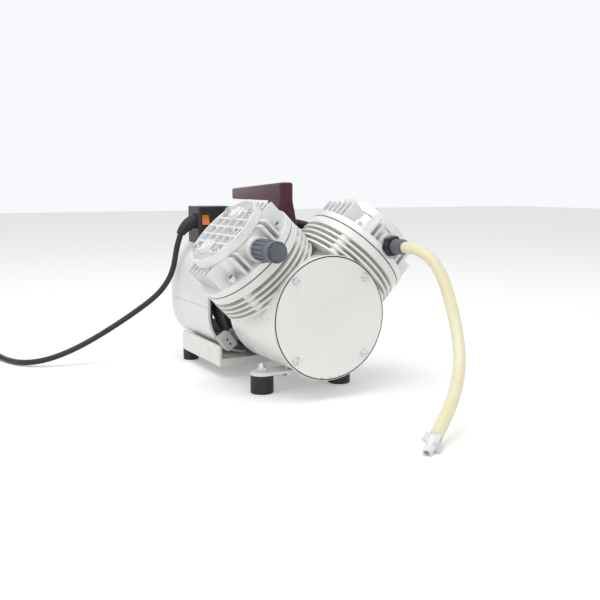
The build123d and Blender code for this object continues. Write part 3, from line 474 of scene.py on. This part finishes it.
def copper_wire():
    """Lacquered winding wire, lying in turns round the core."""
    wire = Finish("copper_finish", (0.52, 0.22, 0.09), 0.32, metallic=0.85, Coat_Weight=0.3)
    turns = wire.add("ShaderNodeTexWave", wave_type="RINGS", rings_direction="Y")
    turns.inputs["Scale"].default_value = 260.0
    turns.inputs["Distortion"].default_value = 1.2
    wire.join(wire.stretched((1, 1, 1), at=(0, 0, -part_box("rotor")[0].z)), turns.inputs["Vector"])
    wire.tint(wire.window(turns.outputs["Fac"], 0.15, 0.60), (0.24, 0.08, 0.03))
    wire.polish(wire.noise(0.003, 3), 0.24, 0.42)
    wire.bump(turns.outputs["Fac"], 0.0002)
    return wire.material


def motor_paint():
    """Dark blue-grey paint over ribbed aluminium, dusty on its ribs."""
    colour = bpy.context.scene.pump_colours.motor
    coat = Finish("motor_paint_finish", colour, 0.40, metallic=0.2)
    coat.soften(0.0005)
    coat.tint(coat.window(coat.noise(0.012, 5, 0.65), 0.45, 0.75), shade(colour, 1.5))
    coat.polish(coat.noise(0.004, 4), 0.34, 0.55)
    coat.bump(coat.noise(0.0012, 3), 0.00006)
    return coat.material


def finish(slot):
    """The finish of a material slot, made the first time that it is asked for."""
    made = bpy.data.materials.get(f"{slot}_finish")
    if made:
        return made
    colours = bpy.context.scene.pump_colours
    makers = {
        "white_enamel": lambda: enamel_paint("white_enamel_finish", colours.enamel),
        "white_plastic": lambda: moulded("white_plastic_finish", colours.shell, 0.34, wear=0.95,
                                         height=0.00005, Coat_Weight=0.1),
        "cast_aluminium": casting,
        "polished_aluminium": cover_sheet,
        "steel": turned_steel,
        "dark_steel": dark_steel,
        "black_plastic": lambda: moulded("black_plastic_finish", (0.017, 0.017, 0.019), 0.38,
                                         wear=1.8),
        "grey_plastic": lambda: moulded("grey_plastic_finish", colours.silencer, 0.42,
                                        height=0.00005, wear=1.35),
        "light_grey_plastic": lambda: moulded(
            "light_grey_plastic_finish", tuple(slot_colour["light_grey_plastic"]), 0.45),
        "gasket_dark": lambda: moulded("gasket_dark_finish",
                                       tuple(slot_colour["gasket_dark"]), 0.6, wear=1.5),
        "black_rubber": rubber,
        "burgundy_plastic": handle_plastic,
        "orange_plastic": rocker_plastic,
        "motor_paint": motor_paint,
        "copper": copper_wire,
        "seal_yellow": seal_ring,
        "silicone_hose": hose_silicone,
        "white_fitting": fitting_plastic,
    }
    return makers[slot]()


def dress(*names):
    """Gives CAD nodes the finish of their material slot."""
    for name in names:
        for place in nodes[name].material_slots:
            place.link = "OBJECT"
            place.material = finish(node_slot[name])


def both(*names):
    return [f"{name}_{side}" for name in names for side in ("left", "right")]


# ---------------------------------------------------------------- making pieces
def middle_of(node):
    """Middle of a CAD node's box at rest."""
    low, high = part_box(node)
    return (low + high) / 2


def add_piece(name, body, slot, riding="pump"):
    """Turns a bmesh into a smooth-shaded piece that rides on a CAD body."""
    mesh = bpy.data.meshes.new(name)
    bmesh.ops.remove_doubles(body, verts=body.verts, dist=1e-6)
    bmesh.ops.recalc_face_normals(body, faces=body.faces)
    body.to_mesh(mesh)
    body.free()
    mesh.shade_smooth()
    mesh.set_sharp_from_angle(angle=radians(35))
    piece = bpy.data.objects.new(name, mesh)
    bpy.context.scene.collection.objects.link(piece)
    mesh.materials.append(finish(slot))
    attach(piece, riding)
    return piece


def turned(profile, frame_matrix, steps=40):
    """Spins a profile of (radius, distance along) round the Z axis of frame_matrix."""
    body = bmesh.new()
    verts = [body.verts.new((r, 0, z)) for r, z in profile]
    edges = [body.edges.new(pair) for pair in zip(verts, verts[1:])]
    bmesh.ops.spin(body, geom=verts + edges, cent=(0, 0, 0), axis=(0, 0, 1), angle=2 * pi,
                   steps=steps, use_merge=True, use_duplicate=False)
    bmesh.ops.remove_doubles(body, verts=body.verts, dist=1e-6)
    bmesh.ops.transform(body, matrix=frame_matrix, verts=body.verts)
    return body


def facing(place, direction, up=(0, 0, 1)):
    """Matrix whose Z runs along direction from place."""
    z = Vector(direction).normalized()
    x = Vector(up).cross(z)
    x = x.normalized() if x.length > 1e-6 else Vector((1, 0, 0))
    y = z.cross(x)
    turn = Matrix((x, y, z)).transposed().to_4x4()
    return Matrix.Translation(place) @ turn


def block(body, size, matrix, round_edge, segments=2):
    """Adds a box with softened edges to a bmesh."""
    made = bmesh.ops.create_cube(body, size=1.0)
    bmesh.ops.scale(body, vec=size, verts=made["verts"])
    edges = list({e for v in made["verts"] for e in v.link_edges})
    made = bmesh.ops.bevel(body, geom=edges, offset=round_edge, segments=segments,
                           affect="EDGES", profile=0.5, material=-1)
    bmesh.ops.transform(body, matrix=matrix, verts=list(set(made["verts"])))


def smooth_cord(name, points, diameter, material):
    """A round cord along one smooth NURBS spline."""
    curve = bpy.data.curves.new(name, "CURVE")
    curve.dimensions = "3D"
    curve.bevel_depth = diameter / 2
    curve.bevel_resolution = 6
    curve.use_fill_caps = True
    spline = curve.splines.new("NURBS")
    spline.points.add(len(points) - 1)
    for knot, place in zip(spline.points, points):
        knot.co = (*place, 1)
    spline.order_u = 3
    spline.use_endpoint_u = True
    spline.resolution_u = 8
    curve.materials.append(material)
    cord = bpy.data.objects.new(name, curve)
    bpy.context.scene.collection.objects.link(cord)
    return cord


def between(stations, turn):
    """Radius and height on the coil after a number of turns."""
    for (t0, r0, z0), (t1, r1, z1) in zip(stations, stations[1:]):
        if turn <= t1:
            share = (turn - t0) / (t1 - t0)
            return r0 + (r1 - r0) * share, z0 + (z1 - z0) * share
    return stations[-1][1:]


def coil_points(middle, points_per_turn=16):
    """The cord's turns, from its first touch of the coil to where the end leaves it."""
    count = round(COIL_STATIONS[-1][0] * points_per_turn)
    pull = cos(pi / points_per_turn)
    points = []
    for i in range(1, count + 1):
        turn = i / points_per_turn
        radius, height = between(COIL_STATIONS, turn)
        angle = 2 * pi * turn
        points.append((middle[0] + radius / pull * cos(angle),
                       middle[1] + radius / pull * sin(angle), height))
    return points


# ---------------------------------------------------------------- operators
class VACUUMPUMP_OT_stage(bpy.types.Operator):
    """Add the camera, soft lamps, pale floor and backdrop"""

    bl_idname = "vacuum_pump.stage"
    bl_label = "Stage"

    def execute(self, context):
        scene, stage = context.scene, context.scene.pump_stage
        scene.view_settings.view_transform = "Standard"
        camera = bpy.data.cameras.new("camera")
        camera.lens, camera.sensor_width = stage.focal_length, 36.0
        camera.clip_start, camera.clip_end = 0.01, 50.0
        viewer = bpy.data.objects.new("camera", camera)
        viewer.location = stage.camera_place
        viewer.rotation_euler = stage.camera_turn
        scene.collection.objects.link(viewer)
        scene.camera = viewer

        ground = bmesh.new()
        bmesh.ops.create_grid(ground, x_segments=1, y_segments=1, size=FLOOR_REACH)
        mesh = bpy.data.meshes.new("floor")
        ground.to_mesh(mesh)
        ground.free()
        floor = bpy.data.objects.new("floor", mesh)
        scene.collection.objects.link(floor)
        mesh.materials.append(self.paper(stage))

        self.lamp(scene, "key_lamp", *KEY_LAMP, stage.key_power)
        self.lamp(scene, "fill_lamp", *FILL_LAMP, stage.fill_power)
        self.surround(scene, stage)
        return {"FINISHED"}

    def lamp(self, scene, name, place, aim, size, power):
        """A round area lamp turned towards aim."""
        light = bpy.data.lights.new(name, "AREA")
        light.shape, light.size, light.energy = "DISK", size, power
        lamp = bpy.data.objects.new(name, light)
        lamp.location = place
        lamp.rotation_euler = (Vector(aim) - Vector(place)).to_track_quat("-Z", "Y").to_euler()
        scene.collection.objects.link(lamp)

    def seen_directly(self, tree):
        """1 for rays that show the ground itself: from the camera, in a gloss or through glass."""
        rays = tree.nodes.new("ShaderNodeLightPath")
        total = tree.nodes.new("ShaderNodeMath")
        total.operation, total.use_clamp = "ADD", True
        tree.links.new(rays.outputs["Is Camera Ray"], total.inputs[0])
        tree.links.new(rays.outputs["Is Glossy Ray"], total.inputs[1])
        last = tree.nodes.new("ShaderNodeMath")
        last.operation, last.use_clamp = "ADD", True
        tree.links.new(total.outputs[0], last.inputs[0])
        tree.links.new(rays.outputs["Is Transmission Ray"], last.inputs[1])
        return last.outputs[0]

    def paper(self, stage):
        """White seamless paper that keeps the pump's shadow."""
        material = bpy.data.materials.new("floor_paper")
        material.use_nodes = True
        tree = material.node_tree
        tree.nodes.clear()
        matt = tree.nodes.new("ShaderNodeBsdfDiffuse")
        matt.inputs["Color"].default_value = (*stage.floor, 1)
        glow = tree.nodes.new("ShaderNodeEmission")
        level = tree.nodes.new("ShaderNodeMath")
        level.operation = "MULTIPLY"
        tree.links.new(self.seen_directly(tree), level.inputs[0])
        level.inputs[1].default_value = stage.lift
        tree.links.new(level.outputs[0], glow.inputs["Strength"])
        both_shaders = tree.nodes.new("ShaderNodeAddShader")
        tree.links.new(matt.outputs[0], both_shaders.inputs[0])
        tree.links.new(glow.outputs[0], both_shaders.inputs[1])
        output = tree.nodes.new("ShaderNodeOutputMaterial")
        tree.links.new(both_shaders.outputs[0], output.inputs["Surface"])
        return material

    def surround(self, scene, stage):
        """Even light from all round, and a white backdrop where the camera looks past the floor."""
        world = bpy.data.worlds.new("surround")
        scene.world = world
        world.use_nodes = True
        tree = world.node_tree
        tree.nodes.clear()
        even = tree.nodes.new("ShaderNodeBackground")
        even.inputs["Color"].default_value = (1, 1, 1, 1)
        even.inputs["Strength"].default_value = stage.sky
        white = tree.nodes.new("ShaderNodeBackground")
        white.inputs["Color"].default_value = (0.93, 0.945, 0.97, 1)
        white.inputs["Strength"].default_value = 1.0
        choose = tree.nodes.new("ShaderNodeMixShader")
        tree.links.new(self.seen_directly(tree), choose.inputs["Fac"])
        tree.links.new(even.outputs[0], choose.inputs[1])
        tree.links.new(white.outputs[0], choose.inputs[2])
        output = tree.nodes.new("ShaderNodeOutputWorld")
        tree.links.new(choose.outputs[0], output.inputs["Surface"])


class VACUUMPUMP_OT_mains_cord(bpy.types.Operator):
    """Add the mains cord with its coil, tie and plug"""

    bl_idname = "vacuum_pump.mains_cord"
    bl_label = "Mains cord"

    def execute(self, context):
        sizes = context.scene.pump_sizes
        middle = (sizes.coil_x, sizes.coil_y)
        plug_x, _, plug_z = middle_of("mains_plug")
        nose_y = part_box("mains_plug")[1].y - sizes.plug_length
        tail = [(plug_x - 0.0018, middle[1] + 0.010, 0.0184), (plug_x, middle[1] + 0.021, plug_z),
                (plug_x, middle[1] + 0.032, plug_z), (plug_x, nose_y + 0.004, plug_z)]
        route = CORD_ROUTE + coil_points(middle) + tail
        jacket = cord_jacket()
        cord = smooth_cord("mains_cord_run", route, sizes.cord_diameter, jacket)
        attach(cord, "pump")
        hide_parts("mains_cord", "cord_coil")

        plug = self.plug(Vector((plug_x, nose_y, plug_z)), sizes.plug_length,
                         sizes.cord_diameter)
        tie = self.tie(middle, sizes)
        dress("plug_pins", "strain_relief")
        return {"FINISHED"}

    def plug(self, nose, length, cord_diameter):
        """Round moulded plug with a ringed nose and a grip waist."""
        r = cord_diameter / 2
        rings, pitch, growth = 5, 0.0042, 0.00075
        profile = [(r - 0.0002, 0.0), (r + 0.0014, 0.0)]
        for k in range(rings):
            z = 0.0018 + k * pitch
            out = r + 0.0016 + k * growth
            profile += [(out, z), (out + 0.0001, z + 0.0022), (out - 0.0012, z + 0.0026),
                        (out - 0.0011, z + 0.0038)]
        profile += [(0.0092, 0.0245), (0.0135, 0.0262), (0.0155, 0.0300), (0.0163, 0.0335),
                    (0.0182, 0.0345), (0.0185, 0.0360), (0.0185, length - 0.0012),
                    (0.0174, length), (0.0, length)]
        body = turned(profile, facing(nose, (0, 1, 0)), steps=48)
        for side in (-1, 1):
            block(body, (0.0012, 0.009, 0.010),
                  Matrix.Translation(nose + Vector((side * 0.0180, 0.042, 0))), 0.0004)
        plug = add_piece("plug_body", body, "black_plastic")
        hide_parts("mains_plug")
        return plug

    def tie(self, middle, sizes):
        """Hook-and-loop strap closed round the turns of the coil."""
        heading = radians(200)
        out = Vector((cos(heading), sin(heading), 0))
        inner, outer, low, high = 0.0228, 0.0456, 0.0004, 0.0226
        body = bmesh.new()
        path = [(inner, low), (outer, low), (outer, high), (inner, high)]
        verts = [body.verts.new(Vector((*middle, 0)) + out * r + Vector((0, 0, z)))
                 for r, z in path]
        loop = body.faces.new(verts)
        bmesh.ops.bevel(body, geom=list(loop.verts), offset=0.0055, segments=6,
                        affect="VERTICES", profile=0.5, material=-1)
        bmesh.ops.delete(body, geom=list(body.faces), context="FACES_ONLY")
        across = Vector((-out.y, out.x, 0)) * sizes.tie_width
        bmesh.ops.translate(body, vec=-across / 2, verts=body.verts)
        made = bmesh.ops.extrude_edge_only(body, edges=body.edges[:])
        bmesh.ops.translate(body, vec=across,
                            verts=[v for v in made["geom"] if isinstance(v, bmesh.types.BMVert)])
        bmesh.ops.recalc_face_normals(body, faces=body.faces)
        tie = add_piece("coil_tie", body, "black_plastic")
        wall = tie.modifiers.new("thickness", "SOLIDIFY")
        wall.thickness, wall.offset = 0.0009, 1.0
        return tie


class VACUUMPUMP_OT_suction_hose(bpy.types.Operator):
    """Add the suction hose and finish its barb, nut and fitting"""

    bl_idname = "vacuum_pump.suction_hose"
    bl_label = "Suction hose"

    def execute(self, context):
        sizes = context.scene.pump_sizes
        hose = smooth_cord("suction_hose", HOSE_ROUTE, sizes.hose_diameter,
                           finish("silicone_hose"))
        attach(hose, "pump")
        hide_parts("vacuum_hose")
        dress("inlet_nut", "hose_barb", "hose_tip")
        self.barb_rings(Vector(HOSE_ROUTE[0]))
        return {"FINISHED"}

    def barb_rings(self, mouth, count=4, pitch=0.0036, bore=0.0056, length=0.0160):
        """A ringed grey sleeve over the barb, from the nut to the mouth of the hose."""
        profile = [(bore, -length), (0.0078, -length)]
        for k in range(count):
            z = 0.0005 - length + k * pitch
            profile += [(0.0081, z + 0.0004), (0.0079, z + 0.0022), (0.0072, z + 0.0030)]
        profile += [(0.0068, 0.0), (bore, 0.0), (bore, -length)]
        add_piece("hose_cuff", turned(profile, facing(mouth, (0, -1, 0)), steps=48),
                  "grey_plastic")


class VACUUMPUMP_OT_castings(bpy.types.Operator):
    """Finish the crankcase, heads and lids, and add the raised valve bosses"""

    bl_idname = "vacuum_pump.castings"
    bl_label = "Castings"

    def execute(self, context):
        dress("crankcase", *both("head", "head_lid", "head_seal"))
        for side, sign in (("left", -1), ("right", 1)):
            self.valve_bosses(side, sign, context.scene.pump_sizes)
        return {"FINISHED"}

    def valve_bosses(self, side, sign, sizes):
        """Two raised collars, each with a small hole, on the lid of one head."""
        radius, rise = sizes.boss_radius, sizes.boss_rise
        shaft = Vector((0, middle_of(f"head_{side}").y, middle_of("rotor").z))
        out = Vector((sign, 0, 1)).normalized()
        along = Vector((1, 0, -sign)).normalized()
        height = self.lid_height(side, shaft, out)
        hole, wall, root = 0.0016, radius - 0.0010, -0.0030
        profile = [(hole, root), (hole, rise - 0.0010), (hole + 0.0010, rise),
                   (wall - 0.0006, rise), (wall, rise - 0.0008), (wall, 0.0006),
                   (radius, 0.0), (radius, root)]
        body = bmesh.new()
        for step in (-1, 1):
            place = shaft + out * height + along * sizes.boss_spread * step
            boss = turned(profile, facing(place, out, up=(0, 1, 0)), steps=36)
            mesh = bpy.data.meshes.new("boss_part")
            boss.to_mesh(mesh)
            boss.free()
            body.from_mesh(mesh)
            bpy.data.meshes.remove(mesh)
        add_piece(f"valve_bosses_{side}", body, "cast_aluminium")

    def lid_height(self, side, shaft, out):
        """Distance from the shaft to the top of a lid, along its cylinder."""
        lid = nodes[f"head_lid_{side}"]
        return max((v.co - shaft).dot(out) for v in lid.data.vertices)


class VACUUMPUMP_OT_cover(bpy.types.Operator):
    """Finish the front cover and screws, and add the dark line of gasket joint and painted shadow,
    and the rim, round the cover
    """

    bl_idname = "vacuum_pump.cover"
    bl_label = "Cover and screws"

    def execute(self, context):
        dress("front_cover", "case_gasket", "cover_screws", *both("head_screws", "lid_screws"))
        sizes = context.scene.pump_sizes
        low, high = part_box("front_cover")
        middle = middle_of("front_cover")
        middle.y = high.y
        radius, depth = (high.x - low.x) / 2, high.y - low.y
        out = facing(middle, (0, -1, 0))
        # Dark ring round the cover's edge: partly the gasket joint, partly painted shadow of the
        # gap between cover and case.
        joint = radius + sizes.joint_shadow_width
        line = [(radius, 0.0002), (joint, 0.0002), (joint, depth - 0.0006),
                (radius + 0.0004, depth - 0.0002), (radius, depth - 0.0006), (radius, 0.0002)]
        add_piece("cover_joint_shadow_line", turned(line, out, steps=160), "gasket_dark")
        edge = joint + sizes.rim_width
        rim = [(joint, -0.0012), (edge, -0.0012), (edge, depth - 0.0016),
               (edge - 0.0004, depth - 0.0008), (joint, depth - 0.0008), (joint, -0.0012)]
        add_piece("case_rim", turned(rim, out, steps=160), "white_enamel")
        return {"FINISHED"}


class VACUUMPUMP_OT_running_gear(bpy.types.Operator):
    """Finish the shaft, eccentrics, rods, valves and membranes"""

    bl_idname = "vacuum_pump.running_gear"
    bl_label = "Running gear"

    def execute(self, context):
        dress("eccentrics", "motor_shaft", "bearing_front", "bearing_rear",
              *both("conrod", "rod_bearing", "clamp_disc", "valve_discs", "membrane"))
        return {"FINISHED"}


class VACUUMPUMP_OT_motor(bpy.types.Operator):
    """Finish the motor, its fan and its terminal block, and add the black ring that stands for a
    rubber ring and for painted shadow in the gap
    """

    bl_idname = "vacuum_pump.motor"
    bl_label = "Motor"

    def execute(self, context):
        dress("motor_housing", "stator_core", "windings", "rotor", "rear_shield", "fan",
              "terminal_block")
        sizes = context.scene.pump_sizes
        # Black ring between the fan cover and the motor: partly a rubber ring, partly painted
        # shadow in the gap.
        low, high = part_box("rear_shield")
        middle = middle_of("rear_shield")
        middle.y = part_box("fan_cover")[0].y - sizes.ring_shadow_front
        inner, outer = (high.x - low.x) / 2 + 0.0006, sizes.ring_shadow_radius
        length, chamfer = sizes.ring_shadow_front + sizes.ring_shadow_rear, 0.002
        ring = [(inner, 0.0), (outer - chamfer, 0.0), (outer, chamfer), (outer, length),
                (inner, length), (inner, 0.0)]
        add_piece("ring_and_gap_shadow", turned(ring, facing(middle, (0, 1, 0)), steps=96),
                  "black_rubber")
        return {"FINISHED"}


class VACUUMPUMP_OT_shell(bpy.types.Operator):
    """Finish the fan cover, tray, front bar and feet"""

    bl_idname = "vacuum_pump.shell"
    bl_label = "Fan cover, tray and feet"

    def execute(self, context):
        dress("fan_cover", "base_tray", "front_bar", "bar_bolts", "rubber_feet", "foot_nuts")
        return {"FINISHED"}


class VACUUMPUMP_OT_handle(bpy.types.Operator):
    """Round the edges of the carrying handle and finish it"""

    bl_idname = "vacuum_pump.handle"
    bl_label = "Handle"

    def execute(self, context):
        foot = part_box("handle")[0].z
        body = bmesh.new()
        body.from_mesh(nodes["handle"].data)
        bmesh.ops.remove_doubles(body, verts=body.verts, dist=1e-5)
        bmesh.ops.dissolve_limit(body, angle_limit=radians(1), verts=body.verts,
                                 edges=body.edges)
        sharp = [e for e in body.edges
                 if len(e.link_faces) == 2 and e.calc_face_angle(0) > radians(25)
                 and max(v.co.z for v in e.verts) > foot + 0.001]
        bmesh.ops.bevel(body, geom=sharp, offset=context.scene.pump_sizes.handle_round,
                        segments=4, affect="EDGES", profile=0.5, material=-1,
                        clamp_overlap=True)
        handle = add_piece("carrying_handle", body, "burgundy_plastic")
        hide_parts("handle")
        return {"FINISHED"}


class VACUUMPUMP_OT_switch(bpy.types.Operator):
    """Finish the switch box and its rocker"""

    bl_idname = "vacuum_pump.switch"
    bl_label = "Switch box"

    def execute(self, context):
        dress("switch_box", "rocker")
        return {"FINISHED"}


class VACUUMPUMP_OT_ports(bpy.types.Operator):
    """Finish the silencer, elbows and link hose"""

    bl_idname = "vacuum_pump.ports"
    bl_label = "Ports"

    def execute(self, context):
        dress("silencer_body", "silencer_cap", "link_hose", *both("elbow"))
        return {"FINISHED"}


class VACUUMPUMP_PT_panel(bpy.types.Panel):
    """Sidebar panel with the pump's pieces, sizes and colours"""

    bl_idname = "VACUUMPUMP_PT_panel"
    bl_label = "Vacuum Pump"
    bl_space_type = "VIEW_3D"
    bl_region_type = "UI"
    bl_category = "Vacuum Pump"

    def draw(self, context):
        column = self.layout.column(align=True)
        for operator in OPERATORS:
            column.operator(operator.bl_idname)
        for group in (context.scene.pump_sizes, context.scene.pump_colours,
                      context.scene.pump_stage):
            box = self.layout.box()
            for name in group.bl_rna.properties.keys():
                if name not in ("rna_type", "name"):
                    box.prop(group, name)


OPERATORS = (
    VACUUMPUMP_OT_stage,
    VACUUMPUMP_OT_mains_cord,
    VACUUMPUMP_OT_suction_hose,
    VACUUMPUMP_OT_castings,
    VACUUMPUMP_OT_cover,
    VACUUMPUMP_OT_running_gear,
    VACUUMPUMP_OT_motor,
    VACUUMPUMP_OT_shell,
    VACUUMPUMP_OT_handle,
    VACUUMPUMP_OT_switch,
    VACUUMPUMP_OT_ports,
)
GROUPS = (VACUUMPUMP_PG_colours, VACUUMPUMP_PG_sizes, VACUUMPUMP_PG_stage)


def register():
    for item in (*GROUPS, *OPERATORS, VACUUMPUMP_PT_panel):
        bpy.utils.register_class(item)
    bpy.types.Scene.pump_colours = bpy.props.PointerProperty(type=VACUUMPUMP_PG_colours)
    bpy.types.Scene.pump_sizes = bpy.props.PointerProperty(type=VACUUMPUMP_PG_sizes)
    bpy.types.Scene.pump_stage = bpy.props.PointerProperty(type=VACUUMPUMP_PG_stage)


def unregister():
    del bpy.types.Scene.pump_colours, bpy.types.Scene.pump_sizes, bpy.types.Scene.pump_stage
    for item in reversed((*GROUPS, *OPERATORS, VACUUMPUMP_PT_panel)):
        bpy.utils.unregister_class(item)


def main():
    register()
    bpy.ops.vacuum_pump.stage()
    bpy.ops.vacuum_pump.mains_cord()
    bpy.ops.vacuum_pump.suction_hose()
    bpy.ops.vacuum_pump.castings()
    bpy.ops.vacuum_pump.cover()
    bpy.ops.vacuum_pump.running_gear()
    bpy.ops.vacuum_pump.motor()
    bpy.ops.vacuum_pump.shell()
    bpy.ops.vacuum_pump.handle()
    bpy.ops.vacuum_pump.switch()
    bpy.ops.vacuum_pump.ports()


if __name__ == "__main__":
    main()
